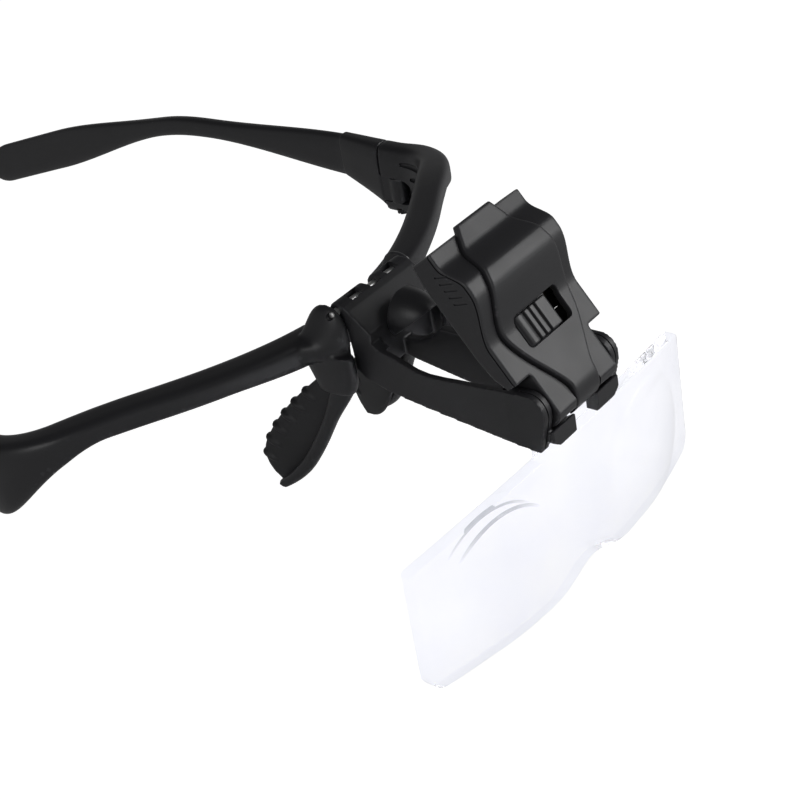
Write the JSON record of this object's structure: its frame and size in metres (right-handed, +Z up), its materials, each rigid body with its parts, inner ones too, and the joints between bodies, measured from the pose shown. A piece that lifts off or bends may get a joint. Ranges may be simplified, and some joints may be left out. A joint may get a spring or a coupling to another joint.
{
  "type": "lighted eyeglass magnifier",
  "caption": "Black spectacle frame whose bridge carries a tilting bracket with a clear twin-lobed magnifying lens below a tilting lamp with a slide switch.",
  "frame": {"origin": "middle of the frame's bridge, where the wearer's brow comes to it from behind", "axes": "+X to the wearer's left, +Y back along the temples, +Z up; the lens is on the -Y side"},
  "size_m": [0.1442, 0.2616, 0.0796],
  "materials": {
    "black_plastic": "satin black moulded plastic",
    "soft_black": "soft matt",
    "steel": "plain",
    "brass": "plated",
    "board": "solder mask",
    "led": "clear cap over a yellow die",
    "lens": "polished clear acrylic, pale lavender"
  },
  "bodies": {
    "frame": {"brow_bar": "black_plastic", "nose_pad_right": "soft_black", "nose_pad_left": "soft_black", "tilt_pin": "steel", "fold_screws": "steel"},
    "bracket": {"lens_bracket": "black_plastic", "bracket_dome": "black_plastic", "bracket_screws": "steel"},
    "lamp": {"lamp_shell": "black_plastic", "lamp_cover": "black_plastic", "lamp_pivot_pins": "steel", "led_board": "board", "leds": "led", "led_window": "lens", "switch_body": "steel", "coin_cells": "steel", "cell_spring": "brass", "cell_plate": "brass", "lamp_screws": "steel"},
    "door": {"battery_door": "black_plastic"},
    "knob": {"switch_knob": "black_plastic"},
    "lens": {"lens": "lens"},
    "block_right": {"hinge_block_right": "black_plastic"},
    "block_left": {"hinge_block_left": "black_plastic"},
    "temple_right": {"temple_right": "black_plastic"},
    "temple_left": {"temple_left": "black_plastic"}
  },
  "joints": [
    {"name": "bracket_tilt", "type": "hinge", "parent": "frame", "child": "bracket", "pos_m": [0, -0.002, 0.0025], "axis": [-1, 0, 0], "range_deg": [0, 40]},
    {"name": "lamp_tilt", "type": "hinge", "parent": "bracket", "child": "lamp", "pos_m": [0, -0.0493, -0.0083], "axis": [-1, 0, 0], "range_deg": [-25, 12]},
    {"name": "door_slide", "type": "slide", "parent": "lamp", "child": "door", "axis": [0, 0.6018, 0.7986], "range_m": [0, 0.022]},
    {"name": "switch_slide", "type": "slide", "parent": "lamp", "child": "knob", "axis": [1, 0, 0], "range_m": [0, 0.0034]},
    {"name": "lens_slide", "type": "slide", "parent": "bracket", "child": "lens", "axis": [0, 0, -1], "range_m": [0, 0.006]},
    {"name": "fold_right", "type": "hinge", "parent": "frame", "child": "block_right", "pos_m": [-0.06709, 0.0464, -0.0165], "axis": [0, 0, -1], "range_deg": [0, 86]},
    {"name": "fold_left", "type": "hinge", "parent": "frame", "child": "block_left", "pos_m": [0.06709, 0.0464, -0.0165], "axis": [0, 0, 1], "range_deg": [0, 94]},
    {"name": "temple_right_release", "type": "slide", "parent": "block_right", "child": "temple_right", "axis": [0, 1, 0], "range_m": [0, 0.0095]},
    {"name": "temple_left_release", "type": "slide", "parent": "block_left", "child": "temple_left", "axis": [0, 1, 0], "range_m": [0, 0.0095]}
  ]
}
